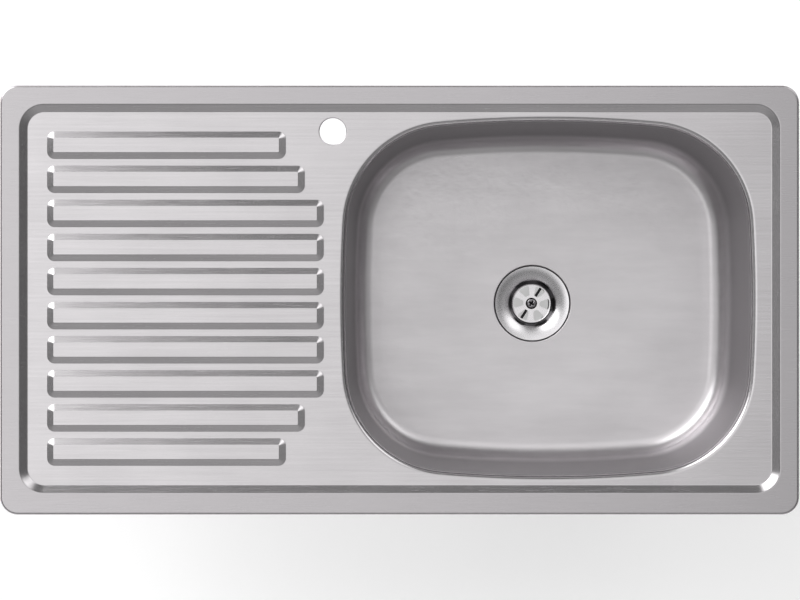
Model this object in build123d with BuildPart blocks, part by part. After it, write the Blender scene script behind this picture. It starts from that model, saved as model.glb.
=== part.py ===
# Inset kitchen sink: a bowl at the right and a ribbed drainboard at the left.
# Millimetres. The origin is the centre of the worktop's cut-out, on the worktop's top face.
# +X points to the bowl end, +Y to the wall behind the sink, +Z up.
import math
import os

from build123d import *

os.makedirs("parts", exist_ok=True)

# Top pressing: a flat rim, a sloped step down to the deck, and the bowl's opening
sink_length = 800.0
sink_width = 430.0
sink_corner = 18.0
sheet = 0.8
rim_height = 5.0
rim_edge_bend = 2.5
lip_gap = 0.3
deck_drop = 5.0
rim_end_width = 27.0
rim_side_width = 28.0
deck_corner = 17.0
deck_shift = 1.6
step_run = 7.5
step_bend = 2.0

# Drainboard ribs, raised from the deck
rib_count = 10
rib_gap = 6.64
rib_side_margin = 19.62
rib_start_margin = 19.8
rib_bowl_gap = 21.5
rib_height = 3.2
rib_run = 6.5
rib_corner = 7.5
rib_bend = 1.8
rib_step_back = 19.0
full_ribs = 6

# Bowl
bowl_end_margin = 20.3
bowl_side_margin = 9.3
opening_length = 407.4
opening_corner = 102.0
end_bulge_radius = 1400.0
side_bulge_radius = 1250.0
opening_bend = 5.5
collar_depth = 8.0
bowl_depth = 150.0
bowl_draft = 6.0
floor_bend = 22.0

# Tap hole
tap_bowl_gap = 12.3
tap_wall_margin = 19.6
tap_hole_radius = 13.25

# Waste fitting: strainer dish, seals, body, insert and screw
drain_shift_x = -9.0
drain_shift_y = -5.1
dish_radius = 39.0
dish_set = 0.8
dish_slope = 18.0
dish_sheet = 1.0
throat_radius = 25.2
cup_depth = 18.0
cup_floor_radius = 21.0
throat_bend = 1.4
cup_bend = 2.6
seat_clearance = 3.5
seat_wall_run = 1.9
waste_hole_radius = 30.0
upper_seal = 1.5
lower_seal = 2.0
seal_inset = 1.0
petal_count = 6
petal_turn = -3.0
petal_inner = 8.6
petal_outer = 19.2
petal_inner_width = 4.6
petal_outer_width = 12.2
petal_corner = 1.8
screw_head_radius = 6.1
screw_head_height = 2.6
screw_length = 16.0
screw_radius = 3.0
screw_clearance = 0.3
thread_clearance = 0.05
cross_length = 6.4
cross_width = 1.4
cross_depth = 1.5
body_flange_radius = 40.0
body_flange_height = 4.0
body_wall = 3.0
body_cup_clearance = 3.0
body_cup_depth = 36.0
tail_radius = 23.9
tail_bore = 21.0
tail_length = 38.0
funnel_height = 7.0
bridge_width = 2.6
bridge_height = 9.0
boss_radius = 6.6
insert_radius = 4.4
insert_length = 13.0

# Sound pad under the bowl's floor
pad_thickness = 2.5
pad_inset = 42.0
pad_hole_clearance = 9.0

# Worktop: cut-out, foam seal under the rim and clamps
rim_overlap = 10.0
foam_edge_gap = 3.0
foam_width = 6.0
end_clamp_y = 0.0
clamp_left_inset = 110.0
clamp_right_inset = 70.0
clamp_setback = 14.0
clamp_lift = 18.0
bracket_sheet = 1.5
bracket_width = 22.0
bracket_flange = 6.0
bracket_edge_gap = 0.5
bracket_bend = 2.2
shelf_back = 7.0
shelf_clearance = 3.3
nut_height = 5.0
nut_flats = 10.0
clamp_screw_length = 35.0
clamp_screw_clearance = 3.0
clamp_head_radius = 5.5
clamp_head_height = 4.0
clamp_slot_width = 1.6
clamp_slot_depth = 1.8
washer_radius = 6.0
washer_thickness = 1.2
claw_sheet = 2.5
claw_width = 12.0
claw_reach = 24.0
claw_heel = 8.0
claw_tip_height = 6.0
claw_tooth_depth = 2.2
claw_teeth = 3

# Braces across the drainboard
brace_deck_margin = 88.0
brace_bowl_gap = 90.3
brace_end_margin = 22.0
brace_sheet = 1.0
brace_bend = 1.6
brace_flange = 8.0
brace_web = 14.0
brace_depth = 10.0

# Lengths and places that follow from the sizes above
deck_length = sink_length - 2 * rim_end_width
deck_width = sink_width - 2 * rim_side_width
cutout_length = sink_length - 2 * rim_overlap
cutout_width = sink_width - 2 * rim_overlap
opening_width = deck_width - 2 * bowl_side_margin
bowl_x = deck_length / 2 - bowl_end_margin - opening_length / 2
bowl_start = bowl_x - opening_length / 2
rib_start = -deck_length / 2 + rib_start_margin
rib_length = bowl_start - rib_bowl_gap - rib_start
rib_pitch = (deck_width - 2 * rib_side_margin + rib_gap) / rib_count
rib_width = rib_pitch - rib_gap
tap_x = bowl_start - tap_bowl_gap
tap_y = deck_shift + deck_width / 2 - tap_wall_margin
drain_x = bowl_x + drain_shift_x
drain_y = deck_shift + drain_shift_y
clamp_left_x = -cutout_length / 2 + clamp_left_inset
clamp_right_x = cutout_length / 2 - clamp_right_inset
brace_left_x = -deck_length / 2 + brace_deck_margin
brace_right_x = bowl_start - brace_bowl_gap
brace_length = deck_width - 2 * brace_end_margin

# Levels and angles that follow
deck_z = rim_height - deck_drop
collar_z = deck_z - collar_depth
floor_z = deck_z - bowl_depth
step_angle = math.atan2(deck_drop, step_run)
rib_angle = math.atan2(rib_height, rib_run)
draft = math.radians(bowl_draft)
dish_angle = math.radians(dish_slope)
deck_centre = Vector(0, deck_shift)
bowl_centre = Vector(bowl_x, deck_shift)
drain_axis = Axis((drain_x, drain_y, 0), (0, 0, 1))
strainer_z = floor_z - cup_depth


def save(part, name):
    part.label = name
    export_step(part, f"parts/{name}.step")


def at(centre, height):
    return Plane((centre.X, centre.Y, height))


def touching_corner(half_length, half_width, end_radius, side_radius, corner):
    # Centre of the corner arc that touches the end arc and the side arc from inside.
    to_end = end_radius - corner
    to_side = side_radius - corner
    apart = math.hypot(end_radius - half_length, side_radius - half_width)
    along = (to_end**2 - to_side**2 + apart**2) / (2 * apart)
    off = math.sqrt(to_end**2 - along**2)
    run = (end_radius - half_length) / apart
    fall = (half_width - side_radius) / apart
    return Vector(half_length - end_radius + along * run - off * fall, along * fall + off * run)


def bulged_outline(grow, plane):
    # The bowl's plan: four slightly bulged sides joined by tangent corners, set out by grow.
    half_length = opening_length / 2 + grow
    half_width = opening_width / 2 + grow
    end_radius = end_bulge_radius + grow
    side_radius = side_bulge_radius + grow
    corner = opening_corner + grow
    hub = touching_corner(half_length, half_width, end_radius, side_radius, corner)
    end_centre = Vector(half_length - end_radius, 0)
    side_centre = Vector(0, half_width - side_radius)
    end_way = (hub - end_centre).normalized()
    side_way = (hub - side_centre).normalized()
    low = hub + end_way * corner
    high = hub + side_way * corner
    middle = hub + (end_way + side_way).normalized() * corner
    with BuildSketch(plane) as outline:
        with BuildLine():
            for side in (1, -1):
                ThreePointArc((side * low.X, -low.Y), (side * half_length, 0), (side * low.X, low.Y))
                ThreePointArc((high.X, side * high.Y), (0, side * half_width), (-high.X, side * high.Y))
                for end in (1, -1):
                    ThreePointArc(
                        (end * low.X, side * low.Y),
                        (end * middle.X, side * middle.Y),
                        (end * high.X, side * high.Y),
                    )
        make_face()
    return outline.sketch


def ring_edges(part, height, inner):
    # Edges round the flat face at this height: its hole's edges, or its outer ones.
    low = height - sheet / 2
    high = height + sheet / 2
    face = part.faces().filter_by(Plane.XY).filter_by_position(Axis.Z, low, high)
    face = face.sort_by(SortBy.AREA)[-1]
    if inner:
        return face.inner_wires().sort_by(SortBy.LENGTH)[-1].edges()
    return face.outer_wire().edges()


def rib_pad(place, gap):
    # One raised rib with its surface set in by gap, and its upper edges rounded.
    set_in = gap * math.tan(rib_angle / 2)
    beyond = max(abs(place) - (full_ribs - 1) / 2, 0)
    length = rib_length - rib_step_back * beyond
    centre = Vector(rib_start + length / 2, deck_shift + place * rib_pitch)
    with BuildPart() as pad:
        with BuildSketch(at(centre, deck_z - gap)):
            RectangleRounded(length - 2 * set_in, rib_width - 2 * set_in, rib_corner - set_in)
        extrude(amount=rib_height, taper=90 - math.degrees(rib_angle))
        fillet(pad.faces().sort_by(Axis.Z)[-1].edges(), rib_bend - gap)
    return pad.part


def pressing(gap, ribs):
    # Everything under the top sheet's surface, with that surface set in by gap.
    set_in = gap * math.tan(step_angle / 2)
    opening = bulged_outline(gap, at(bowl_centre, deck_z - gap))
    with BuildPart() as block:
        with BuildSketch(Plane.XY.offset(collar_z)):
            RectangleRounded(sink_length - 2 * gap, sink_width - 2 * gap, sink_corner - gap)
        extrude(amount=rim_height - gap - collar_z)
        fillet(block.faces().sort_by(Axis.Z)[-1].edges(), rim_edge_bend - gap)
        with BuildSketch(at(deck_centre, deck_z - gap)):
            RectangleRounded(deck_length + 2 * set_in, deck_width + 2 * set_in, deck_corner + set_in)
        extrude(amount=2 * deck_drop, taper=math.degrees(step_angle) - 90, mode=Mode.SUBTRACT)
        fillet(ring_edges(block, rim_height - gap, True), step_bend - gap)
        fillet(ring_edges(block, deck_z - gap, False), step_bend + gap)
        extrude(opening, amount=collar_z - deck_z, mode=Mode.SUBTRACT)
        fillet(ring_edges(block, deck_z - gap, True), opening_bend - gap)
        add(ribs)
    return block.part


def revolved_sheet(points, bends, thickness):
    # A sheet of even thickness below a line of (radius, height) points, turned round the drain.
    with BuildPart() as turned:
        with BuildSketch(Plane((drain_x, drain_y, 0), x_dir=(1, 0, 0), z_dir=(0, -1, 0))):
            with BuildLine():
                path = FilletPolyline(*points, radius=bends)
                offset(path, amount=thickness, side=Side.LEFT)
            make_face()
        revolve(axis=drain_axis)
    return turned.part


def turned_ring(points):
    # A solid ring: a closed outline of (radius, height) points, turned round the drain.
    with BuildPart() as turned:
        with BuildSketch(Plane((drain_x, drain_y, 0), x_dir=(1, 0, 0), z_dir=(0, -1, 0))):
            with BuildLine():
                Polyline(*points, close=True)
            make_face()
        revolve(axis=drain_axis)
    return turned.part


def dish_level(radius, below):
    # Height of the conical dish at this radius, on a face set below its top by a thickness.
    fall = (dish_radius - radius) * math.tan(dish_angle)
    return floor_z - dish_set - fall - below / math.cos(dish_angle)


def cone_ring(inner, outer, above, below):
    # A conical washer between two of the dish's parallel faces.
    return turned_ring(
        (
            (inner, dish_level(inner, above)),
            (outer, dish_level(outer, above)),
            (outer, dish_level(outer, below)),
            (inner, dish_level(inner, below)),
        )
    )


# Sheet, seal and floor faces in the waste's stack, measured square to the dish
seat_top = dish_sheet + upper_seal
seat_bottom = seat_top + sheet
body_top = seat_bottom + lower_seal

# Top pressing
rib_places = [index - (rib_count - 1) / 2 for index in range(rib_count)]
upper_face = pressing(0, [rib_pad(place, 0) for place in rib_places])
lower_face = pressing(sheet, [rib_pad(place, sheet) for place in rib_places])
with BuildPart() as sink_top:
    add(upper_face)
    add(lower_face, mode=Mode.SUBTRACT)
    with BuildSketch(Plane.XY.offset(collar_z)):
        Rectangle(2 * sink_length, 2 * sink_width)
        RectangleRounded(cutout_length, cutout_width, sink_corner, mode=Mode.SUBTRACT)
    extrude(amount=lip_gap - collar_z, mode=Mode.SUBTRACT)
    with BuildSketch(Plane((tap_x, tap_y, rim_height))):
        Circle(tap_hole_radius)
    extrude(amount=-2 * deck_drop, mode=Mode.SUBTRACT)
save(sink_top.part, "sink_top")

# Bowl, butt welded under the collar, with a sunk seat for the waste
wall_fall = collar_z - floor_z
with BuildPart() as bowl_hollow:
    extrude(bulged_outline(0, at(bowl_centre, collar_z)), amount=-wall_fall, taper=bowl_draft)
    fillet(bowl_hollow.faces().sort_by(Axis.Z)[0].edges(), floor_bend)
seat_edge = dish_radius + seat_clearance
seat_foot = seat_edge - seat_wall_run
seat_path = (
    (seat_edge + seat_clearance, floor_z),
    (seat_edge, floor_z),
    (seat_foot, dish_level(seat_foot, seat_top)),
    (waste_hole_radius, dish_level(waste_hole_radius, seat_top)),
)
waste_seat = revolved_sheet(seat_path, sheet, sheet)
with BuildPart() as bowl:
    extrude(bulged_outline(sheet, at(bowl_centre, collar_z)), amount=-wall_fall - sheet, taper=bowl_draft)
    fillet(bowl.faces().sort_by(Axis.Z)[0].edges(), floor_bend + sheet)
    add(bowl_hollow.part, mode=Mode.SUBTRACT)
    with BuildSketch(Plane((drain_x, drain_y, floor_z))):
        Circle(seat_edge + seat_clearance / 2)
    extrude(amount=-2 * sheet, mode=Mode.SUBTRACT)
    add(waste_seat)
save(bowl.part, "bowl")

# Strainer dish: conical flange, throat and a cup with petal holes round the screw
dish_path = (
    (dish_radius, dish_level(dish_radius, 0)),
    (throat_radius, dish_level(throat_radius, 0)),
    (cup_floor_radius, strainer_z),
    (screw_radius + screw_clearance, strainer_z),
)
dish_blank = revolved_sheet(dish_path, (throat_bend, cup_bend), dish_sheet)
petal_half_angle = math.degrees(math.asin(petal_outer_width / 2 / petal_outer))
with BuildSketch() as petal:
    with BuildLine():
        outer_edge = CenterArc((0, 0), petal_outer, -petal_half_angle, 2 * petal_half_angle)
        inner_edge = Line((petal_inner, -petal_inner_width / 2), (petal_inner, petal_inner_width / 2))
        Line(inner_edge @ 0, outer_edge @ 0)
        Line(inner_edge @ 1, outer_edge @ 1)
    make_face()
    fillet(petal.vertices(), petal_corner)
with BuildPart() as strainer:
    add(dish_blank)
    with BuildSketch(Plane((drain_x, drain_y, strainer_z))):
        with PolarLocations(0, petal_count, start_angle=petal_turn):
            add(petal.sketch)
    extrude(amount=-2 * dish_sheet, mode=Mode.SUBTRACT)
save(strainer.part, "strainer_dish")

# Rubber seals above and below the bowl's seat
seal_inner = waste_hole_radius + seal_inset
with BuildPart() as upper_seal_ring:
    add(cone_ring(seal_inner, dish_radius - seal_inset, dish_sheet, seat_top))
save(upper_seal_ring.part, "upper_waste_seal")

with BuildPart() as lower_seal_ring:
    add(cone_ring(seal_inner, body_flange_radius - seal_inset, seat_bottom, body_top))
save(lower_seal_ring.part, "lower_waste_seal")

# Waste body: flange, cup, bridge with a boss for the insert, and a threaded tail
cup_inner = throat_radius + dish_sheet + body_cup_clearance
cup_outer = cup_inner + body_wall
cup_foot = floor_z - body_cup_depth
tail_top = cup_foot - funnel_height
tail_end = tail_top - tail_length
flange_foot = dish_level(body_flange_radius, body_top) - body_flange_height
body_shell = turned_ring(
    (
        (cup_inner, dish_level(cup_inner, body_top)),
        (body_flange_radius, dish_level(body_flange_radius, body_top)),
        (body_flange_radius, flange_foot),
        (cup_outer, flange_foot - body_wall),
        (cup_outer, cup_foot),
        (tail_radius, tail_top),
        (tail_radius, tail_end),
        (tail_bore, tail_end),
        (tail_bore, tail_top + body_wall),
        (cup_inner, cup_foot + body_wall),
    )
)
boss_top = strainer_z - dish_sheet
boss_foot = boss_top - insert_length - body_wall
bridge_turn = petal_turn + 360 / petal_count
with BuildPart() as waste_body:
    add(body_shell)
    with BuildSketch(Plane((drain_x, drain_y, boss_foot + bridge_height))):
        Rectangle(2 * cup_inner + body_wall, bridge_width, rotation=bridge_turn)
    extrude(amount=-bridge_height)
    with BuildSketch(Plane((drain_x, drain_y, boss_top))):
        Circle(boss_radius)
    extrude(amount=boss_foot - boss_top)
    with BuildSketch(Plane((drain_x, drain_y, boss_top))):
        Circle(insert_radius)
    extrude(amount=-insert_length, mode=Mode.SUBTRACT)
    with BuildSketch(Plane((drain_x, drain_y, boss_top))):
        Circle(screw_radius + screw_clearance)
    extrude(amount=boss_foot - boss_top, mode=Mode.SUBTRACT)
save(waste_body.part, "waste_body")

with BuildPart() as waste_insert:
    with BuildSketch(Plane((drain_x, drain_y, boss_top))):
        Circle(insert_radius)
        Circle(screw_radius + thread_clearance, mode=Mode.SUBTRACT)
    extrude(amount=-insert_length)
save(waste_insert.part, "waste_insert")

with BuildPart() as waste_screw:
    with BuildSketch(Plane((drain_x, drain_y, strainer_z))):
        Circle(screw_head_radius)
    extrude(amount=screw_head_height)
    fillet(waste_screw.faces().sort_by(Axis.Z)[-1].edges(), screw_head_height / 2)
    with BuildSketch(Plane((drain_x, drain_y, strainer_z))):
        Circle(screw_radius)
    extrude(amount=-screw_length)
    with BuildSketch(Plane((drain_x, drain_y, strainer_z + screw_head_height))):
        for turn in (0, 90):
            Rectangle(cross_length, cross_width, rotation=bridge_turn + turn)
    extrude(amount=-cross_depth, mode=Mode.SUBTRACT)
save(waste_screw.part, "waste_screw")

# Sound pad under the floor, open round the waste
pad_plane = at(bowl_centre, floor_z - sheet)
pad_outline = bulged_outline(-wall_fall * math.tan(draft) - floor_bend - pad_inset, pad_plane)
with BuildPart() as sound_pad:
    extrude(pad_outline, amount=-pad_thickness)
    with BuildSketch(Plane((drain_x, drain_y, floor_z - sheet))):
        Circle(seat_edge + pad_hole_clearance)
    extrude(amount=-pad_thickness, mode=Mode.SUBTRACT)
save(sound_pad.part, "sound_pad")

# Foam seal between the rim and the worktop
foam_length = sink_length - 2 * foam_edge_gap
foam_breadth = sink_width - 2 * foam_edge_gap
with BuildPart() as rim_seal:
    with BuildSketch(Plane.XY):
        RectangleRounded(foam_length, foam_breadth, sink_corner - foam_edge_gap)
        RectangleRounded(
            foam_length - 2 * foam_width,
            foam_breadth - 2 * foam_width,
            sink_corner - foam_edge_gap - foam_width,
            mode=Mode.SUBTRACT,
        )
    extrude(amount=rim_height - sheet)
save(rim_seal.part, "rim_seal")

# Hat-section braces welded under the drainboard
brace_half = brace_web / 2
brace_top = deck_z - sheet
for name, brace_x in (("left", brace_left_x), ("right", brace_right_x)):
    brace_plane = Plane((brace_x, deck_shift, brace_top), x_dir=(1, 0, 0), z_dir=(0, -1, 0))
    with BuildPart() as brace:
        with BuildSketch(brace_plane):
            with BuildLine():
                hat = FilletPolyline(
                    (-brace_half - brace_flange, 0),
                    (-brace_half, 0),
                    (-brace_half, -brace_depth),
                    (brace_half, -brace_depth),
                    (brace_half, 0),
                    (brace_half + brace_flange, 0),
                    radius=brace_bend,
                )
                offset(hat, amount=brace_sheet, side=Side.RIGHT)
            make_face()
        extrude(amount=brace_length / 2, both=True)
    save(brace.part, f"brace_{name}")

# Clamps round the cut-out: each plane's +Y points out over the worktop
half_row = cutout_width / 2 - clamp_setback
half_span = cutout_length / 2 - clamp_setback
clamp_planes = {
    "end_left": Plane((-half_span, end_clamp_y, 0), x_dir=(0, 1, 0)),
    "end_right": Plane((half_span, end_clamp_y, 0), x_dir=(0, -1, 0)),
}
clamp_middle_x = (clamp_left_x + clamp_right_x) / 2
for name, clamp_x in (("left", clamp_left_x), ("middle", clamp_middle_x), ("right", clamp_right_x)):
    clamp_planes[f"rear_{name}"] = Plane((clamp_x, half_row, 0), x_dir=(1, 0, 0))
    clamp_planes[f"front_{name}"] = Plane((clamp_x, -half_row, 0), x_dir=(-1, 0, 0))

flange_out = clamp_setback - bracket_edge_gap
web_face = flange_out - bracket_flange
washer_z = deck_z - clamp_screw_clearance - clamp_lift - clamp_screw_length
claw_z = washer_z + washer_thickness
shelf_z = claw_z + claw_sheet + clamp_lift + shelf_clearance
hole_radius = screw_radius + screw_clearance

# The claw's upturned tip, seen from its end, with a row of pointed teeth
tip_half = claw_width / 2 - claw_sheet
tooth = 2 * tip_half / claw_teeth
tip_top = claw_z + claw_sheet + claw_tip_height
tip_outline = [(-tip_half, claw_z + claw_sheet), (-tip_half, tip_top - claw_tooth_depth)]
for index in range(claw_teeth):
    tip_outline.append((-tip_half + (index + 0.5) * tooth, tip_top))
    tip_outline.append((-tip_half + (index + 1) * tooth, tip_top - claw_tooth_depth))
tip_outline.append((tip_half, claw_z + claw_sheet))

with BuildPart() as weld_nuts:
    for plane in clamp_planes.values():
        with BuildSketch(plane.offset(shelf_z + bracket_sheet)):
            RegularPolygon(nut_flats / 2, 6, major_radius=False)
            Circle(screw_radius + thread_clearance, mode=Mode.SUBTRACT)
        extrude(amount=nut_height)
save(weld_nuts.part, "weld_nuts")

for name, plane in clamp_planes.items():
    side_view = Plane(plane.origin, x_dir=plane.y_dir, z_dir=plane.x_dir)
    with BuildPart() as bracket:
        with BuildSketch(side_view):
            with BuildLine():
                section = FilletPolyline(
                    (flange_out, rim_height - sheet),
                    (web_face, rim_height - sheet),
                    (web_face, shelf_z),
                    (-shelf_back, shelf_z),
                    radius=bracket_bend,
                )
                offset(section, amount=bracket_sheet, side=Side.LEFT)
            make_face()
        extrude(amount=bracket_width / 2, both=True)
        with BuildSketch(plane.offset(shelf_z)):
            Circle(hole_radius)
        extrude(amount=2 * bracket_sheet, both=True, mode=Mode.SUBTRACT)
    save(bracket.part, f"clamp_bracket_{name}")

    with BuildPart() as washer:
        with BuildSketch(plane.offset(washer_z)):
            Circle(washer_radius)
            Circle(hole_radius, mode=Mode.SUBTRACT)
        extrude(amount=washer_thickness)
    save(washer.part, f"clamp_washer_{name}")

    with BuildPart() as clamp_screw:
        with BuildSketch(plane.offset(washer_z)):
            Circle(clamp_head_radius)
        extrude(amount=-clamp_head_height)
        with BuildSketch(plane.offset(washer_z)):
            Circle(screw_radius)
        extrude(amount=clamp_screw_length)
        with BuildSketch(plane.offset(washer_z - clamp_head_height)):
            Rectangle(3 * clamp_head_radius, clamp_slot_width)
        extrude(amount=clamp_slot_depth, mode=Mode.SUBTRACT)
    save(clamp_screw.part, f"clamp_screw_{name}")

    with BuildPart() as claw:
        with BuildSketch(plane.offset(claw_z)):
            with Locations(((claw_reach - claw_heel) / 2, 0)):
                RectangleRounded(claw_reach + claw_heel, claw_width, claw_sheet)
            Circle(hole_radius, mode=Mode.SUBTRACT)
        extrude(amount=claw_sheet)
        with BuildSketch(side_view.offset(claw_reach)):
            with BuildLine():
                Polyline(*tip_outline, close=True)
            make_face()
        extrude(amount=-claw_sheet)
    save(claw.part, f"clamp_claw_{name}")
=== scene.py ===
import math

import bmesh
import bpy
import numpy as np
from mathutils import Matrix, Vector
from mathutils.geometry import tessellate_polygon


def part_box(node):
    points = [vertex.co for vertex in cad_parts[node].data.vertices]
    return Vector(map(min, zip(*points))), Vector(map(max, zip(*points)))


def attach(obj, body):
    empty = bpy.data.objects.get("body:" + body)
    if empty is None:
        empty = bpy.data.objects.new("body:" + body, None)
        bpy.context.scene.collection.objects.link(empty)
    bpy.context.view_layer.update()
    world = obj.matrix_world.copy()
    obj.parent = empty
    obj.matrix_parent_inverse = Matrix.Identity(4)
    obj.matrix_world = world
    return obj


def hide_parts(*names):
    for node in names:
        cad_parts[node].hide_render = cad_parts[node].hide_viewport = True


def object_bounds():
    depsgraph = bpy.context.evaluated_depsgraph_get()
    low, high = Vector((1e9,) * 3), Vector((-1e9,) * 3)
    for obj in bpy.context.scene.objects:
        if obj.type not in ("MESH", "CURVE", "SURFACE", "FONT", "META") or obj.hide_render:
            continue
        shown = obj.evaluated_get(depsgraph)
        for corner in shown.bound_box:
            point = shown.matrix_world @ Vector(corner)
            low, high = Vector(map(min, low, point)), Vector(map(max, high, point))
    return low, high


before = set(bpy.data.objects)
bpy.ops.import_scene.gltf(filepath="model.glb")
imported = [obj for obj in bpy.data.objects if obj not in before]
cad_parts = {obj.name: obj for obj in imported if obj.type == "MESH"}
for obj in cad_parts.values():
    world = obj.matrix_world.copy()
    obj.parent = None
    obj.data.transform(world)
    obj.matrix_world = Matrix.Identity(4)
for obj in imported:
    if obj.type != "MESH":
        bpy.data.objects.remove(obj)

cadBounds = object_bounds()
mm = 0.001
mergeWithin = 1e-6    # metres
cloudSpan = (0.35, 0.65)    # between these lie most values of a cloudy noise
grainSpan = (0.3, 0.7)    # and of a fine one


def middleOf(node):
    # half the sum of the low and high corners of a CAD node's box, seen from above
    low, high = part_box(node)
    return np.array([(low[i] + high[i]) / 2 for i in (0, 1)]) / mm


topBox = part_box("sink_top")
drainCentre = middleOf("strainer_dish")
bowlCentre = middleOf("bowl")


# every length below is in millimetres until a mesh is made

def roundedRect(halfLength, halfWidth, radius, perCorner=14, centre=(0, 0)):
    # four quarter circles in turn: point = corner centre + radius * normal, normal = (cos a, sin a)
    a = np.radians(np.linspace(0, 90, perCorner)[None, :] + np.array([0, 90, 180, 270])[:, None])
    normals = np.stack([np.cos(a), np.sin(a)], axis=2)
    signs = np.array([(1, 1), (-1, 1), (-1, -1), (1, -1)])
    corners = signs * np.array([halfLength - radius, halfWidth - radius]) + np.array(centre)
    points = corners[:, None, :] + radius * normals
    return points.reshape(-1, 2), normals.reshape(-1, 2)


def bulgedOutline(shape, perArc=26):
    # eight tangent arcs: two end arcs, two side arcs and four corners, with their outward normals
    endCentre = np.array([shape["halfLength"] - shape["endRadius"], 0.0])
    sideCentre = np.array([0.0, shape["halfWidth"] - shape["sideRadius"]])
    toEnd = shape["endRadius"] - shape["corner"]
    toSide = shape["sideRadius"] - shape["corner"]
    between = sideCentre - endCentre
    apart = np.linalg.norm(between)
    along = (toEnd ** 2 - toSide ** 2 + apart ** 2) / (2 * apart)
    across = math.sqrt(toEnd ** 2 - along ** 2)
    unit = between / apart
    hub = endCentre + along * unit + across * np.array([-unit[1], unit[0]])
    endTurn = math.degrees(math.atan2(*(hub - endCentre)[::-1]))
    sideTurn = math.degrees(math.atan2(*(hub - sideCentre)[::-1]))
    turns = (np.linspace(-endTurn, endTurn, perArc), np.linspace(endTurn, sideTurn, perArc),
             np.linspace(sideTurn, 180 - sideTurn, perArc))
    centres = (endCentre, hub, sideCentre)
    radii = (shape["endRadius"], shape["corner"], shape["sideRadius"])
    points, normals = [], []
    for flip in (1, -1):    # the second half is the first one turned by half a turn
        for turn, centre, radius in zip(turns, centres, radii):
            a = np.radians(turn[:-1])
            n = np.column_stack([np.cos(a), np.sin(a)])
            points.append(flip * (centre + radius * n))
            normals.append(flip * n)
        a = np.radians(np.linspace(180 - sideTurn, 180 - endTurn, perArc)[:-1])
        n = np.column_stack([np.cos(a), np.sin(a)])
        points.append(flip * (hub * np.array([-1, 1]) + shape["corner"] * n))
        normals.append(flip * n)
    return np.concatenate(points), np.concatenate(normals)


def circlePath(radius, count, centre):
    # point = centre + radius * (cos a, sin a)
    a = np.linspace(0, 2 * np.pi, count, endpoint=False)
    normals = np.column_stack([np.cos(a), np.sin(a)])
    return np.array(centre) + radius * normals, normals


def bentLine(points, radii, perBend=7):
    # a line with each corner replaced by its tangent arc; radii go with the inner points
    points = np.array(points, float)
    out = [points[:1]]
    for before, corner, after, radius in zip(points[:-2], points[1:-1], points[2:], radii):
        goIn = (corner - before) / np.linalg.norm(corner - before)
        goOut = (after - corner) / np.linalg.norm(after - corner)
        turn = math.atan2(goIn[0] * goOut[1] - goIn[1] * goOut[0], goIn @ goOut)
        start = corner - goIn * radius * math.tan(abs(turn) / 2)
        side = np.array([-goIn[1], goIn[0]]) * np.sign(turn)
        hub = start + side * radius
        a = np.linspace(0, turn, perBend)[:, None]
        spoke = start - hub
        quarter = np.array([-spoke[1], spoke[0]])
        out.append(hub + np.cos(a) * spoke + np.sin(a) * quarter)
    out.append(points[-1:])
    return np.concatenate(out)


def raised(flat, up):
    # grid[i, j] = (flat[i, j], up[i, j]), where up can be one height, or one for each column j
    return np.concatenate([flat, np.broadcast_to(up, flat.shape[:2])[..., None]], axis=2)


def sweep(path, normals, profile):
    # grid[i, j] = (path[i] + out[j] * normal[i], up[j]), for profile points (out, up)
    return raised(path[:, None, :] + normals[:, None, :] * profile[None, :, 0:1], profile[:, 1])


def addObject(name, data):
    piece = bpy.data.objects.new(name, data)
    bpy.context.collection.objects.link(piece)
    return piece


class Shell:
    # points and faces gathered from several grids and fills, then made one mesh
    def __init__(self):
        self.points, self.faces, self.count = [], [], 0

    def add(self, points, faces):
        self.points.append(points)
        self.faces += (np.array(faces) + self.count).tolist()
        self.count += len(points)

    def grid(self, grid, closed=True):
        # quads between neighbouring rows of the path; the last row joins the first where the path is closed
        rows, cols = grid.shape[:2]
        i = np.arange(rows if closed else rows - 1)[:, None]
        j = np.arange(cols - 1)[None, :]
        k = (i + 1) % rows
        quads = np.stack([i * cols + j, i * cols + j + 1, k * cols + j + 1, k * cols + j], axis=2)
        self.add(grid.reshape(-1, 3), quads.reshape(-1, 4))

    def fill(self, loops, height):
        # triangles that fill the first loop and leave the others open
        flat = np.concatenate(loops)
        rings = [[Vector((x, y, 0)) for x, y in loop] for loop in loops]
        self.add(np.column_stack([flat, np.full(len(flat), height)]), tessellate_polygon(rings))

    def disc(self, ring, tip):
        # a fan from one ring of points to its middle point
        n = len(ring)
        i = np.arange(n)
        self.add(np.vstack([ring, [tip]]), np.column_stack([i, (i + 1) % n, np.full(n, n)]))

    def ends(self, grid, centre=None):
        # fans that close the first and the last ring of a tube, at their middle or on the given centre line
        for ring in (grid[:, 0], grid[:, -1]):
            self.disc(ring, ring.mean(axis=0) if centre is None else (*centre, ring[0, 2]))

    def build(self, name, material, upward=None):
        mesh = bpy.data.meshes.new(name)
        mesh.from_pydata((np.concatenate(self.points) * mm).tolist(), [], self.faces)
        work = bmesh.new()
        work.from_mesh(mesh)
        bmesh.ops.remove_doubles(work, verts=work.verts, dist=mergeWithin)
        bmesh.ops.recalc_face_normals(work, faces=work.faces)
        if upward is not None:    # an open sheet: turn it so that the given point's face looks the given way
            face = min(work.faces, key=lambda f: (f.calc_center_median() - Vector(upward[0]) * mm).length)
            if face.normal.dot(Vector(upward[1])) < 0:
                bmesh.ops.reverse_faces(work, faces=work.faces)
        work.to_mesh(mesh)
        work.free()
        mesh.shade_smooth()
        piece = addObject(name, mesh)
        mesh.materials.append(material)
        return piece


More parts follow.
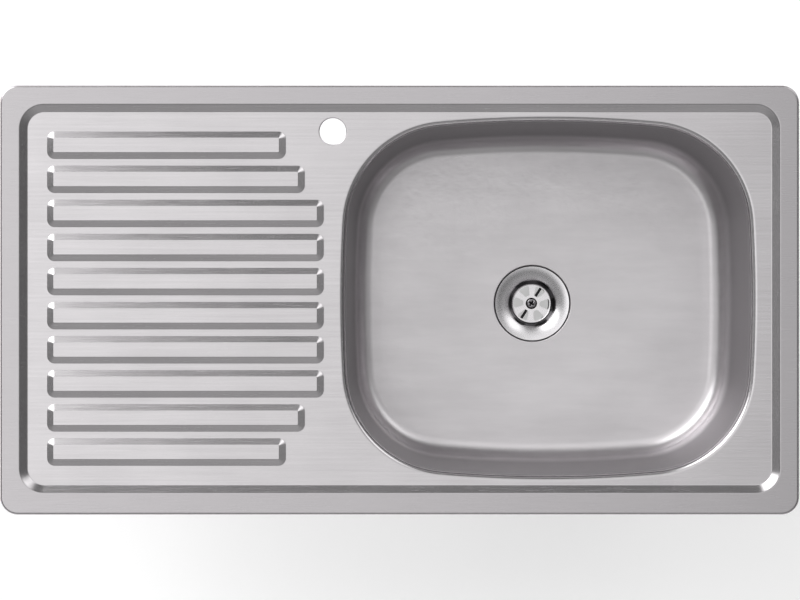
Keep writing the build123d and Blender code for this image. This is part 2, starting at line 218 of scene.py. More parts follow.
def thicken(piece, thickness):
    # sheet metal's wall, laid behind the shown face
    wall = piece.modifiers.new("wall", "SOLIDIFY")
    wall.thickness = thickness * mm
    wall.offset = -1
    wall.use_even_offset = True
    wall.use_quality_normals = True


def roundEdges(piece, width, segments=2, angle=40):
    bevel = piece.modifiers.new("rounded_edges", "BEVEL")
    bevel.width = width * mm
    bevel.segments = segments
    bevel.limit_method = "ANGLE"
    bevel.angle_limit = math.radians(angle)
    bevel.harden_normals = True


def hold(piece, body, node):
    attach(piece, body)
    if node:
        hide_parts(node)


def linearColour(hexColour):
    # sRGB hex to linear: c / 12.92 below 0.04045, else ((c + 0.055) / 1.055) ^ 2.4
    parts = [int(hexColour[i:i + 2], 16) / 255 for i in (1, 3, 5)]
    return tuple(c / 12.92 if c <= 0.04045 else ((c + 0.055) / 1.055) ** 2.4 for c in parts) + (1.0,)


def joinNode(tree, node, links):
    # links are socket: (source node, its output), by number, or by name among the sockets in use
    for key, (source, output) in links.items():
        taken = (socket for socket in source.outputs if socket.name == output and socket.enabled)
        given = (socket for socket in node.inputs if socket.name == key and socket.enabled)
        tree.links.new(source.outputs[output] if isinstance(output, int) else next(taken),
                       node.inputs[key] if isinstance(key, int) else next(given))


def addNode(tree, kind, links=None, fixed=None, **settings):
    # settings, in their order, are the node's own properties or sockets by name; fixed are sockets by number
    node = tree.nodes.new(kind)
    for key, value in settings.items():
        socket = next((s for s in node.inputs if s.name.replace(" ", "") == key and s.enabled), None)
        if socket is not None:
            socket.default_value = value
        else:
            setattr(node, key, value)
    for number, value in (fixed or {}).items():
        node.inputs[number].default_value = value
    joinNode(tree, node, links or {})
    return node


def newMaterial(name):
    material = bpy.data.materials.new(name)
    material.use_nodes = True
    tree = material.node_tree
    tree.nodes.clear()
    shader = addNode(tree, "ShaderNodeBsdfPrincipled")
    addNode(tree, "ShaderNodeOutputMaterial", {"Surface": (shader, "BSDF")})
    return material, tree, shader


def finishSurface(tree, shader, where, settings, tone, grain):
    # colour = dark + tone * (light - dark), then each band's own tone where the height is past all its edges,
    # each (height of none, height of full); the grain sets the roughness and stands up as fine relief
    dark, light = (linearColour(colour) for colour in settings["tones"])
    colour = addNode(tree, "ShaderNodeMix", {"Factor": (tone, "Result")}, data_type="RGBA", A=dark, B=light)
    for bandTone, ramp, edges in settings.get("bands", ()):
        height = addNode(tree, "ShaderNodeSeparateXYZ", {"Vector": (where, "Object")})
        steps = [addNode(tree, "ShaderNodeMapRange", {"Value": (height, "Z")}, interpolation_type=ramp,
                         FromMin=none * mm, FromMax=full * mm) for none, full in edges]
        share = steps[0]
        for step in steps[1:]:
            share = addNode(tree, "ShaderNodeMath", {0: (share, 0), 1: (step, 0)}, operation="MULTIPLY")
        colour = addNode(tree, "ShaderNodeMix", {"Factor": (share, 0), "A": (colour, "Result")},
                         data_type="RGBA", B=linearColour(bandTone))
    low, high = settings["roughness"]
    rough = addNode(tree, "ShaderNodeMapRange", {"Value": (grain, "Fac")},
                    FromMin=grainSpan[0], FromMax=grainSpan[1], ToMin=low, ToMax=high)
    relief = addNode(tree, "ShaderNodeBump", {"Height": (grain, "Fac")},
                     Strength=settings["bump"], Distance=settings["grainDepth"] * mm)
    joinNode(tree, shader, {"Base Color": (colour, "Result"), "Roughness": (rough, "Result"),
                            "Normal": (relief, "Normal")})
    shader.inputs["Metallic"].default_value = settings["metallic"]
    return relief


def patternedMaterial(name, settings, patterns):
    # a material with the patterns of its finish, each in lumps of the given millimetres along X, Y and Z, or
    # alike along all three
    material, tree, shader = newMaterial(name)
    where = addNode(tree, "ShaderNodeTexCoord")
    noises = []
    for pattern, detail, roughness in patterns:
        lumps = np.broadcast_to(settings[pattern], 3) * mm
        spread = addNode(tree, "ShaderNodeMapping", {"Vector": (where, "Object")}, Scale=tuple(1 / lumps))
        noises.append(addNode(tree, "ShaderNodeTexNoise", {"Vector": (spread, "Vector")},
                              Scale=1.0, Detail=detail, Roughness=roughness))
    return material, tree, shader, where, noises


def brushedStainless(name, settings):
    # grain is the belt's scratches, streak their long bands, cloud where the rolls pressed unevenly;
    # tone = streak + cloud
    patterns = (("grainSize", 3.0, 0.6), ("streakSize", 4.0, 0.55), ("cloudSize", 2.0, 0.5))
    material, tree, shader, where, noises = patternedMaterial(name, settings, patterns)
    grain, streak, cloud = noises
    both = addNode(tree, "ShaderNodeMath", {0: (streak, "Fac"), 1: (cloud, "Fac")}, operation="ADD")
    tone = addNode(tree, "ShaderNodeMapRange", {"Value": (both, "Value")},
                   FromMin=2 * cloudSpan[0], FromMax=2 * cloudSpan[1])
    relief = finishSurface(tree, shader, where, settings, tone, grain)
    waves = addNode(tree, "ShaderNodeBump", {"Height": (cloud, "Fac"), "Normal": (relief, "Normal")},
                    Strength=1.0, Distance=settings["waveDepth"] * mm)
    joinNode(tree, shader, {"Normal": (waves, "Normal")})
    return material


def plainSurface(name, settings):
    # moulded, turned or plated: a base tone with a cloudy second one
    patterns = (("grainSize", 3.0, 0.5), ("cloudSize", 4.0, 0.6))
    material, tree, shader, where, noises = patternedMaterial(name, settings, patterns)
    grain, cloud = noises
    tone = addNode(tree, "ShaderNodeMapRange", {"Value": (cloud, "Fac")},
                   FromMin=cloudSpan[0], FromMax=cloudSpan[1])
    finishSurface(tree, shader, where, settings, tone, grain)
    return material


# the pressed top: cold-rolled stainless steel, ground lengthwise with a fine belt, which gives a silver-grey
# sheen with long faint streaks; the scratches are some 0.05 mm wide and drawn 0.35 mm wide to show. The
# raised rim, above 4.2 mm, is drawn in a darker tone
topSteel = brushedStainless("brushed_stainless_sheet", {
    "grainSize": (30.0, 0.35, 0.35), "streakSize": (160.0, 2.5, 2.5), "cloudSize": (90.0, 60.0, 60.0),
    "tones": ("#CAC7C9", "#D4D1D3"), "bands": (("#BEBBBD", "LINEAR", ((4.2, 4.8),)),),
    "roughness": (0.18, 0.28), "bump": 0.12, "grainDepth": 0.02, "waveDepth": 0.15, "metallic": 1.0})
# the bowl: the same steel, deep-drawn and satin-polished with a mop, which gives a wide, soft shine without
# streaks; its short scratches are drawn ten times coarser than real. The wall above the floor's bend is
# painted a darker tone: painted shade on the steep wall
bowlSteel = brushedStainless("satin_stainless_bowl", {
    "grainSize": (6.0, 0.6, 0.6), "streakSize": (60.0, 12.0, 12.0), "cloudSize": (80.0, 70.0, 70.0),
    # bands: from -134 mm up to -95 mm the wall turns a darker tone, painted shade on the steep wall
    "tones": ("#D8D5D7", "#E2DFE1"), "bands": (("#8F8B8E", "SMOOTHSTEP", ((-134.0, -95.0),)),),
    "roughness": (0.35, 0.45), "bump": 0.08, "grainDepth": 0.02, "waveDepth": 0.2, "metallic": 1.0})
# the strainer's dish: pressed stainless steel, buffed bright, which gives clear highlights with soft edges;
# the cup's wall in the throat is painted dark: painted shade. Its grain of 0.05 mm is drawn 0.6 mm
polishedSteel = plainSurface("polished_stainless_dish", {
    "cloudSize": 20.0, "grainSize": 0.6, "tones": ("#E6E4E6", "#EFEDEF"),
    # bands: the cup's wall, between the cup's floor and the throat, painted dark: painted shade
    "bands": (("#4C4A4D", "LINEAR", ((-167.8, -167.2), (-156.9, -157.5))),),
    "roughness": (0.24, 0.34), "bump": 0.03, "grainDepth": 0.01, "metallic": 1.0})
# the strainer's screw: stainless steel, headed and turned, darker than the dish; its cross and the edge of
# its head, down in the cup, are painted near black: painted shade
screwSteel = plainSurface("turned_stainless_screw", {
    "cloudSize": 3.0, "grainSize": 0.3, "tones": ("#8C8A8D", "#9C9A9D"),
    # bands: below -166.25 mm, the cross and the head's edge, painted near black: painted shade
    "bands": (("#232224", "LINEAR", ((-165.95, -166.25),)),),
    "roughness": (0.20, 0.30), "bump": 0.05, "grainDepth": 0.01, "metallic": 1.0})
# the waste body: injection-moulded polypropylene, coloured dark grey throughout, from an eroded mould, which
# gives an even, half-matt skin; its grain of 0.1 mm is drawn 0.5 mm
wastePlastic = plainSurface("moulded_polypropylene", {
    "cloudSize": 30.0, "grainSize": 0.5, "tones": ("#3A3A3C", "#444447"),
    "roughness": (0.42, 0.58), "bump": 0.2, "grainDepth": 0.04, "metallic": 0.0})
# the waste's seals: EPDM rubber, press-moulded, nearly black with a broad dull sheen
sealRubber = plainSurface("black_rubber_seal", {
    "cloudSize": 8.0, "grainSize": 0.4, "tones": ("#161617", "#1F1F20"),
    "roughness": (0.6, 0.8), "bump": 0.3, "grainDepth": 0.03, "metallic": 0.0})
# the screw's insert: brass, turned from bar, yellow with a lively shine; its 0.1 mm marks are drawn 0.3 mm
brassInsert = plainSurface("turned_brass_insert", {
    "cloudSize": 4.0, "grainSize": 0.3, "tones": ("#B8924A", "#C9A45C"),
    "roughness": (0.22, 0.34), "bump": 0.1, "grainDepth": 0.01, "metallic": 1.0})
# the sound pad: filled bitumen sheet, pressed between rollers, brown-black, matt and a little mottled
padBitumen = plainSurface("bitumen_damping_pad", {
    "cloudSize": 25.0, "grainSize": 0.9, "tones": ("#1B1A1A", "#272625"),
    "roughness": (0.65, 0.85), "bump": 0.6, "grainDepth": 0.12, "metallic": 0.0})
# the rim's seal: closed-cell polyethylene foam, cut in strips, so its 0.7 mm cells lie open and make it matt
foamStrip = plainSurface("closed_cell_foam", {
    "cloudSize": 6.0, "grainSize": 0.7, "tones": ("#1E1E20", "#2B2B2E"),
    "roughness": (0.75, 0.95), "bump": 0.7, "grainDepth": 0.15, "metallic": 0.0})
# the braces and the weld bead: stainless strip as it leaves the mill, folded and not polished, so greyer and
# cloudier than the top; its roll marks are drawn 0.5 mm wide, five times coarser than real
braceSteel = brushedStainless("mill_finish_stainless_strip", {
    "grainSize": (20.0, 0.5, 0.5), "streakSize": (60.0, 3.0, 3.0), "cloudSize": (30.0, 30.0, 30.0),
    "tones": ("#A9A8A8", "#B9B8B8"),
    "roughness": (0.34, 0.48), "bump": 0.15, "grainDepth": 0.03, "waveDepth": 0.05, "metallic": 1.0})
# the clamps: mild steel, zinc-plated in a barrel and passivated clear, a bluish silver that clouds where the
# parts knocked together; its crystals are too fine to see and drawn 0.5 mm
zincPlate = plainSurface("bright_zinc_plating", {
    "cloudSize": 5.0, "grainSize": 0.5, "tones": ("#A6ABB2", "#BCC0C4"),
    "roughness": (0.22, 0.38), "bump": 0.1, "grainDepth": 0.02, "metallic": 1.0})
print("materials made")


topSheet = {
    "sheet": 0.8, "rimHeight": 5.0, "rimBend": 2.5, "lipGap": 0.3, "corner": 18.0,
    "deckHalf": (373.0, 187.0), "deckCorner": 17.0, "deckShift": 1.6,
    "stepRun": 7.5, "stepBend": 2.0, "stepStrip": 1.8, "strip": 0.8,
    "ribCount": 10, "ribPitch": 34.14, "ribLength": 277.0, "ribWidth": 27.5, "ribHeight": 3.2,
    "ribRun": 6.5, "ribCorner": 7.5, "ribBend": 1.8, "ribFoot": 1.6, "ribStrip": 0.4, "ribTopShare": 0.3,
    "ribStart": -353.2, "ribStepBack": 19.0, "fullRibs": 6,
    "openingBend": 5.5, "collar": 8.0, "ledge": 0.6,
    "tapAt": (-67.0, 169.0), "tapRadius": 13.25, "tapBend": 0.9, "tapEdge": 0.018,
}
opening = {
    "halfLength": 203.7, "halfWidth": 177.7, "endRadius": 1400.0, "sideRadius": 1250.0, "corner": 102.0,
}


def makeTop(s):
    # each part is a profile (out, up) carried round its outline: rim, step, ribs, bowl opening and tap hole
    shell = Shell()
    halfLength, halfWidth = topBox[1][0] / mm, topBox[1][1] / mm
    outline, outNormals = roundedRect(halfLength, halfWidth, s["corner"])
    line = [(0, s["lipGap"]), (0, s["rimHeight"]), (-s["rimBend"] - s["strip"], s["rimHeight"])]
    edgeGrid = sweep(outline, outNormals, bentLine(line, (s["rimBend"],), perBend=9))
    shell.grid(edgeGrid)
    deckPath, deckNormals = roundedRect(*s["deckHalf"], s["deckCorner"], centre=(0, s["deckShift"]))
    line = [(-s["strip"], 0), (0, 0), (s["stepRun"], s["rimHeight"]),
            (s["stepRun"] + s["stepStrip"], s["rimHeight"])]
    stepGrid = sweep(deckPath, deckNormals, bentLine(line, (s["stepBend"], s["stepBend"])))
    shell.grid(stepGrid)
    shell.grid(np.stack([edgeGrid[:, -1], stepGrid[:, -1]], axis=1))
    holes = []
    # a rib's slope: foot strip, foot bend, slope, top bend and a top strip longer than that bend needs
    line = [(s["ribStrip"] + s["ribFoot"], 0), (0, 0), (-s["ribRun"], s["ribHeight"]),
            (-s["ribRun"] - s["ribStrip"] - s["ribBend"] * s["ribTopShare"], s["ribHeight"])]
    slope = bentLine(line, (s["ribFoot"], s["ribBend"]))
    for place in np.arange(s["ribCount"]) - (s["ribCount"] - 1) / 2:
        length = s["ribLength"] - s["ribStepBack"] * max(abs(place) - (s["fullRibs"] - 1) / 2, 0)
        centre = (s["ribStart"] + length / 2, s["deckShift"] + place * s["ribPitch"])
        path, normals = roundedRect(length / 2, s["ribWidth"] / 2, s["ribCorner"],
                                    perCorner=10, centre=centre)
        grid = sweep(path, normals, slope)
        shell.grid(grid)
        shell.fill([grid[:, -1, :2]], s["ribHeight"])
        holes.append(grid[:, 0, :2])
    path, normals = bulgedOutline(opening)
    bowlHole = ((path + bowlCentre, normals), s["openingBend"], s["collar"] - s["ledge"], 11)
    tapCircle = circlePath(s["tapRadius"], count=64, centre=s["tapAt"])
    tapHole = (tapCircle, s["tapBend"], s["tapBend"] + s["tapEdge"], 6)
    for (path, normals), bend, depth, perBend in (bowlHole, tapHole):
        line = [(bend + s["strip"], 0), (0, 0), (0, -depth)]
        grid = sweep(path, normals, bentLine(line, (bend,), perBend))
        shell.grid(grid)
        holes.append(grid[:, 0, :2])
    shell.fill([stepGrid[:, 0, :2]] + holes, 0.0)
    onRim = (0, halfWidth - 2 * s["rimBend"], s["rimHeight"])
    piece = shell.build("sink_top_sheet", topSteel, (onRim, (0, 0, 1)))
    thicken(piece, s["sheet"])
    hold(piece, "sink", "sink_top")


makeTop(topSheet)
print("top sheet made")


bowlShape = {
    "sheet": 0.8, "top": -8.0, "floor": -150.0, "draft": 4.5, "floorBend": 16.0, "footShare": 1.6,
    "fall": 1.0, "floorRings": 22,
    "lip": (0.2, 0.5), "ledge": (0.55, 0.15), "ledgeTaper": 2.0, "ledgeFall": 2.2, "neckFall": 12.0,
    "wallBends": (0.15, 1.0, 20.0),
    "seatEdge": 40.5, "seatWallRun": 0.9, "seatLip": 1.0, "seatBends": (0.8, 0.7), "holeRadius": 30.0,
    "dishSlope": 18.0, "seatBelow": 2.5, "dishSet": 0.8, "dishRadius": 39.0,
}


def dishLevel(s, radius, below):
    # the dish's cone: floor - set - (outer radius - radius) * tan(slope), lowered square to itself
    slope = math.radians(s["dishSlope"])
    return s["floor"] - s["dishSet"] - (s["dishRadius"] - radius) * math.tan(slope) - below / math.cos(slope)


def makeBowl(s):
    # the wall's profile (out, up): the welded lip, a narrow ledge, the tapered wall and the floor's bend
    path, normals = bulgedOutline(opening)
    tan = math.tan(math.radians(s["draft"]))
    wallFoot, level = -(s["top"] - s["floor"]) * tan, s["floor"] + s["fall"]
    (lipOut, lipUp), (ledgeIn, ledgeUp) = s["lip"], s["ledge"]
    line = [(lipOut, s["top"] + lipUp), (-ledgeIn, s["top"] + ledgeUp),
            (-ledgeIn - s["ledgeTaper"] * tan, s["top"] - s["ledgeFall"]),
            (-s["neckFall"] * tan, s["top"] - s["neckFall"]),
            (wallFoot, level), (wallFoot - s["floorBend"] * s["footShare"], level)]
    profile = bentLine(line, (*s["wallBends"], s["floorBend"]), perBend=12)
    wallGrid = sweep(path + bowlCentre, normals, profile)
    inner = wallGrid[:, -1]
    # floor ring = (1 - t) * foot of the wall + t * seat circle at the same angle, falling by cos to the seat
    angle = np.arctan2(inner[:, 1] - drainCentre[1], inner[:, 0] - drainCentre[0])
    spoke = np.column_stack([np.cos(angle), np.sin(angle)])
    seatCircle = drainCentre + s["seatEdge"] * spoke
    t = np.linspace(0, 1, s["floorRings"])[:, None]
    sag = s["floor"] + s["fall"] * (0.5 + 0.5 * np.cos(np.pi * t[:, 0]))
    floorGrid = raised(inner[:, None, :2] * (1 - t) + seatCircle[:, None, :] * t, sag)
    foot = s["seatEdge"] - s["seatWallRun"]
    line = [(s["seatLip"], s["floor"]), (0, s["floor"]),
            (foot - s["seatEdge"], dishLevel(s, foot, s["seatBelow"])),
            (s["holeRadius"] - s["seatEdge"], dishLevel(s, s["holeRadius"], s["seatBelow"]))]
    seatGrid = sweep(seatCircle, spoke, bentLine(line, s["seatBends"], perBend=6))
    floorGrid[:, -1, :2] = seatGrid[:, 0, :2]
    floorGrid[:, -1, 2] = s["floor"]
    shell = Shell()
    shell.grid(wallGrid)
    shell.grid(floorGrid)
    shell.grid(seatGrid)
    onFloor = (bowlCentre[0], bowlCentre[1] + opening["halfWidth"] / 2, s["floor"])
    piece = shell.build("bowl_shell", bowlSteel, (onFloor, (0, 0, 1)))
    thicken(piece, s["sheet"])
    hold(piece, "sink", "bowl")


makeBowl(bowlShape)
print("bowl made")


def turned(profile, count, centre):
    # a lathe: grid[i, j] = centre + radius[j] * (cos a[i], sin a[i]), at height[j]
    path, normals = circlePath(0.0, count, centre)
    return sweep(path, normals, np.array(profile, float))


def threadGrid(radius, pitch, depth, top, bottom, count=48, perPitch=8):
    # row j of angle a climbs with the helix: height = top - pitch * (j / perPitch - a / 2 pi), held between
    # the ends; radius = radius - depth * (distance from the crest, 0 to 1, flat for a tenth at crest and
    # root), cut by a 45 degree cone at each end
    a = np.linspace(0, 2 * np.pi, count + 1)[:, None]
    j = np.arange(-perPitch, (math.ceil((top - bottom) / pitch) + 1) * perPitch + 1)[None, :]
    height = np.clip(top - pitch * (j / perPitch - a / (2 * np.pi)), bottom, top)
    fromCrest = np.abs(((j / perPitch) % 1.0) - 0.5) * 2
    r = radius - depth * np.clip(fromCrest * 1.25 - 0.125, 0, 1)
    r = np.minimum(r, radius - depth + np.minimum(top - height, height - bottom))
    return np.stack([r * np.cos(a), r * np.sin(a), height], axis=2)


def boundaryOf(grid):
    # the four edges of a grid as one loop
    return np.concatenate([grid[:-1, 0], grid[-1, :-1], grid[:0:-1, -1], grid[0, :0:-1]])


def crossHead(s):
    # square grid laid on a disc: x = R u sqrt(1 - v^2 / 2), y = R v sqrt(1 - u^2 / 2);
    # z = height * sqrt(1 - (r / R)^bulge) - depth inside either arm of the cross, deepest in the middle
    radius, wall = s["headRadius"], s["crossWall"]
    half, arm = s["crossWidth"] / radius, s["crossHalf"] / radius
    line = np.array([0, half / 2, half - wall, half, (half + arm) / 2, arm - wall, arm, *s["rimShares"]])
    line = np.concatenate([-line[:0:-1], line])
    u, v = np.meshgrid(line, line, indexing="ij")
    x, y = radius * u * np.sqrt(1 - v * v / 2), radius * v * np.sqrt(1 - u * u / 2)
    share = np.clip(np.hypot(x, y) / radius, 0, 1)
    across, along = half - wall / 2, arm - wall / 2
    cut = ((np.abs(u) < across) & (np.abs(v) < along)) | ((np.abs(v) < across) & (np.abs(u) < along))
    cut = cut * (1 - s["crossTaper"] * np.maximum(np.abs(u), np.abs(v)) / arm)
    z = s["headHeight"] * np.sqrt(1 - share ** s["bulge"]) - s["crossDepth"] * cut
    return np.stack([x, y, z], axis=2)


def slottedHead(s):
    # rows across the slot: y = R sin t, x = v sqrt(R^2 - y^2);
    # z = crown * (1 - (r / R)^2) - depth between the slot's walls
    radius, edge, wall = s["headRadius"] - s["headEdge"], s["slotWidth"], s["slotWall"]
    side = radius * np.sin(np.linspace(math.asin(edge / radius), np.pi / 2 - s["lastRow"], 10))
    rows = np.concatenate([-side[::-1], [-edge + wall, 0.0, edge - wall], side])[:, None]
    v = np.sin(np.linspace(-np.pi / 2, np.pi / 2, 25))[None, :]
    x, y = v * np.sqrt(radius ** 2 - rows ** 2), rows + 0 * v
    crown = s["crown"] * (1 - (x * x + y * y) / radius ** 2)
    return np.stack([x, y, crown - s["slotDepth"] * (np.abs(y) < edge - wall / 2)], axis=2)


def placed(grid, origin, turn=0.0, flip=False):
    # turned about +Z by turn degrees, turned over about its own X if flip, then moved to origin
    c, s = math.cos(math.radians(turn)), math.sin(math.radians(turn))
    x, y, z = grid[..., 0], grid[..., 1], grid[..., 2]
    if flip:
        y, z = -y, -z
    return np.stack([c * x - s * y + origin[0], s * x + c * y + origin[1], z + origin[2]], axis=-1)


dishShape = {
    "radius": 39.0, "throat": 25.2, "cupFloor": 21.0, "cupDepth": 18.0, "bends": (1.4, 2.2),
    "bow": 0.6, "bowFoot": 0.18, "bowRings": 14, "sheet": 1.0, "plateRadius": 19.4,
    "screwHole": 3.3, "edge": 0.22,
    "petals": 6, "petalTurn": -3.0, "petalInner": 8.6, "petalOuter": 19.2, "petalInnerHalf": 2.3,
    "petalOuterHalf": 6.1, "petalCorner": 1.8, "petalArcShare": 0.9,
}
cupLevel = bowlShape["floor"] - dishShape["cupDepth"]


def petalPath(s, turn):
    # one petal: straight inner edge and sides, outer edge on a circle, all corners rounded
    far = math.asin(s["petalOuterHalf"] / s["petalOuter"])
    outerCorner = s["petalOuter"] * math.cos(far)
    start = (s["petalInner"], 0.0)
    corners = [(s["petalInner"], -s["petalInnerHalf"]), (outerCorner, -s["petalOuterHalf"]),
               (s["petalOuter"] / math.cos(far / 2), 0), (outerCorner, s["petalOuterHalf"]),
               (s["petalInner"], s["petalInnerHalf"])]
    corner = s["petalCorner"]
    bends = (corner, corner, s["petalOuter"] * s["petalArcShare"], corner, corner)
    loop = bentLine([start, *corners, start], bends, perBend=8)[:-1]
    a = math.radians(turn)
    spin = np.array([[math.cos(a), math.sin(a)], [-math.sin(a), math.cos(a)]])
    return loop @ spin + drainCentre


def makeStrainer(s):
    # the dish's rise from throat to edge: (1 + bow) t - bow t^2, so it flattens towards the edge
    outer = dishLevel(bowlShape, s["radius"], 0)
    throat = dishLevel(bowlShape, s["throat"], 0)
    t = np.linspace(1, s["bowFoot"], s["bowRings"])
    dish = np.column_stack([s["throat"] + (s["radius"] - s["throat"]) * t,
                            throat + (outer - throat) * ((1 + s["bow"]) * t - s["bow"] * t * t)])
    line = [dish[-1], (s["throat"], throat), (s["cupFloor"], cupLevel), (s["plateRadius"], cupLevel)]
    profile = np.vstack([dish[:-1], bentLine(line, s["bends"], perBend=9)])
    shell = Shell()
    cup = turned(profile, count=144, centre=drainCentre)
    shell.grid(cup)
    petals = [petalPath(s, s["petalTurn"] + 360 / s["petals"] * k) for k in range(s["petals"])]
    hole, _ = circlePath(s["screwHole"], count=48, centre=drainCentre)
    shell.fill([cup[:, -1, :2]] + petals + [hole], cupLevel)
    onDish = (drainCentre[0] + (s["radius"] + s["throat"]) / 2, drainCentre[1], (outer + throat) / 2)
    piece = shell.build("strainer", polishedSteel, (onDish, (0, 0, 1)))
    thicken(piece, s["sheet"])
    roundEdges(piece, s["edge"])
    hold(piece, "sink", "strainer_dish")


screwShape = {
    "headRadius": 6.1, "headHeight": 2.6, "bulge": 3.0, "turn": 57.0,
    "rimShares": (0.64, 0.73, 0.82, 0.89, 0.94, 0.975, 1.0),
    "crossHalf": 3.2, "crossWidth": 0.75, "crossDepth": 2.2, "crossTaper": 0.4, "crossWall": 0.02,
    "shank": 3.0, "length": 16.0, "pitch": 1.0, "threadDepth": 0.55, "threadGap": 0.02,
}


def makeWasteScrew(s):
    # the cross head closed by a fan underneath, and the threaded shank closed at both ends
    shell = Shell()
    origin = (*drainCentre, cupLevel)
    head = placed(crossHead(s), origin, s["turn"])
    shell.grid(head, closed=False)
    shell.disc(boundaryOf(head), origin)
    thread = threadGrid(s["shank"], s["pitch"], s["threadDepth"], -s["threadGap"], -s["length"])
    thread = placed(thread, origin)
    shell.grid(thread, closed=False)
    shell.ends(thread[:-1], drainCentre)
    hold(shell.build("strainer_screw", screwSteel), "sink", "waste_screw")


makeStrainer(dishShape)
makeWasteScrew(screwShape)
print("strainer and screw made")


wasteShape = {
    "flange": 40.0, "flangeHeight": 4.0, "stack": 5.3, "cupInner": 29.2, "wall": 3.0, "cupFoot": -186.0,
    "funnel": 7.0, "tailRadius": 23.9, "bore": 21.0, "tailLength": 38.0, "pitch": 2.31, "threadDepth": 1.1,
    "bend": 1.0, "rootBend": 0.3, "flangeBend": 0.5, "boreBend": 0.4,
    "grips": 24, "gripDepth": 0.7, "gripShare": 0.6,
    "bridgeWidth": 2.6, "bridgeHeight": 9.0, "bridgeFlat": 0.1, "turn": 57.0,
    "bossRadius": 6.6, "bossBends": (0.6, 0.8, 0.2, 0.1, 0.1), "screwHole": 3.3,
    "insertRadius": 4.4, "insertLength": 13.0,
}


def makeWasteBody(s):
    # turned from the profile of flange, cup, funnel and tail, with the tail's thread, a bridge and its boss
    count, origin, touch = 144, (*drainCentre, 0), 0.01
    flangeTop = [dishLevel(bowlShape, r, s["stack"]) for r in (s["cupInner"], s["flange"])]
    flangeFoot = flangeTop[1] - s["flangeHeight"]
    outer = s["cupInner"] + s["wall"]
    tailTop = s["cupFoot"] - s["funnel"]
    tailEnd = tailTop - s["tailLength"]
    root = s["tailRadius"] - s["threadDepth"]
    line = [(root, tailTop), (s["tailRadius"], tailTop), (outer, s["cupFoot"]),
            (outer, flangeFoot - s["wall"]), (s["flange"], flangeFoot), (s["flange"], flangeTop[1]),
            (s["cupInner"], flangeTop[0]), (s["cupInner"], s["cupFoot"] + s["wall"]),
            (s["bore"], tailTop + s["wall"]), (s["bore"], tailEnd), (root, tailEnd)]
    bend = s["bend"]
    bends = (s["rootBend"], bend, bend, bend, bend, s["flangeBend"], bend, bend, s["boreBend"])
    grid = turned(bentLine(line, bends, perBend=5), count, (0, 0))
    # finger grips round the cup's outside: the wall's radius falls by a raised cosine, grips times round
    a = np.arctan2(grid[..., 1], grid[..., 0])
    r = np.hypot(grid[..., 0], grid[..., 1])
    height = grid[..., 2]
    onWall = (np.abs(r - outer) < touch) & (height < flangeFoot - s["wall"]) & (height > s["cupFoot"])
    swell = np.cos(s["grips"] * a) * (1 + s["gripShare"]) - s["gripShare"]
    cut = s["gripDepth"] * np.clip(swell, 0, 1) * onWall
    grid[..., :2] *= (1 - cut / np.maximum(r, 1))[..., None]
    shell = Shell()
    shell.grid(placed(grid, origin))
    thread = threadGrid(s["tailRadius"], s["pitch"], s["threadDepth"], tailTop, tailEnd, count)
    shell.grid(placed(thread, origin), closed=False)
    # bridge: a rounded bar across the cup, its section carried along the bar
    bossTop = cupLevel - dishShape["sheet"]
    bossFoot = bossTop - s["insertLength"] - s["wall"]
    half = s["bridgeWidth"] / 2
    section, _ = roundedRect(half, s["bridgeHeight"] / 2, half - s["bridgeFlat"], perCorner=8)
    reach = s["cupInner"] + s["wall"] / 2
    along = np.linspace(-reach, reach, 12)
    up = section[:, None, 1] + s["bridgeHeight"] / 2
    bar = np.stack(np.broadcast_arrays(along[None, :], section[:, None, 0], up), axis=2)
    bar = placed(bar, (*drainCentre, bossFoot), s["turn"])
    shell.grid(bar)
    shell.ends(bar)
    ledge = bossTop - s["insertLength"]
    line = [(s["insertRadius"], bossTop), (s["bossRadius"], bossTop), (s["bossRadius"], bossFoot),
            (s["screwHole"], bossFoot), (s["screwHole"], ledge), (s["insertRadius"], ledge),
            (s["insertRadius"], bossTop)]
    shell.grid(turned(bentLine(line, s["bossBends"], perBend=4), count=72, centre=drainCentre))
    hold(shell.build("waste_cup_and_tail", wastePlastic), "sink", "waste_body")


makeWasteBody(wasteShape)
print("waste body made")


sealShape = {"gap": 3.0, "width": 6.0, "height": 4.2, "round": 0.9}


def makeFoam(s):
    # the strip's rounded section carried round the rim's outline
    half = s["width"] / 2
    inset = s["gap"] + half
    centreLine, normals = roundedRect(topBox[1][0] / mm - inset, topBox[1][1] / mm - inset,
                                      topSheet["corner"] - inset)
    section, _ = roundedRect(half, s["height"] / 2, s["round"], perCorner=6)
    ring = sweep(centreLine, normals, np.vstack([section, section[:1]]) + np.array([0, s["height"] / 2]))
    shell = Shell()
    shell.grid(ring)
    hold(shell.build("rim_foam", foamStrip), "sink", "rim_seal")


padShape = {
    "halfInset": 78.92, "thickness": 2.5, "gap": 0.02, "holeRadius": 51.5, "rings": 70,
    "cell": 11.0, "relief": 0.7, "cellSlope": 3.2, "edge": 0.5,
}


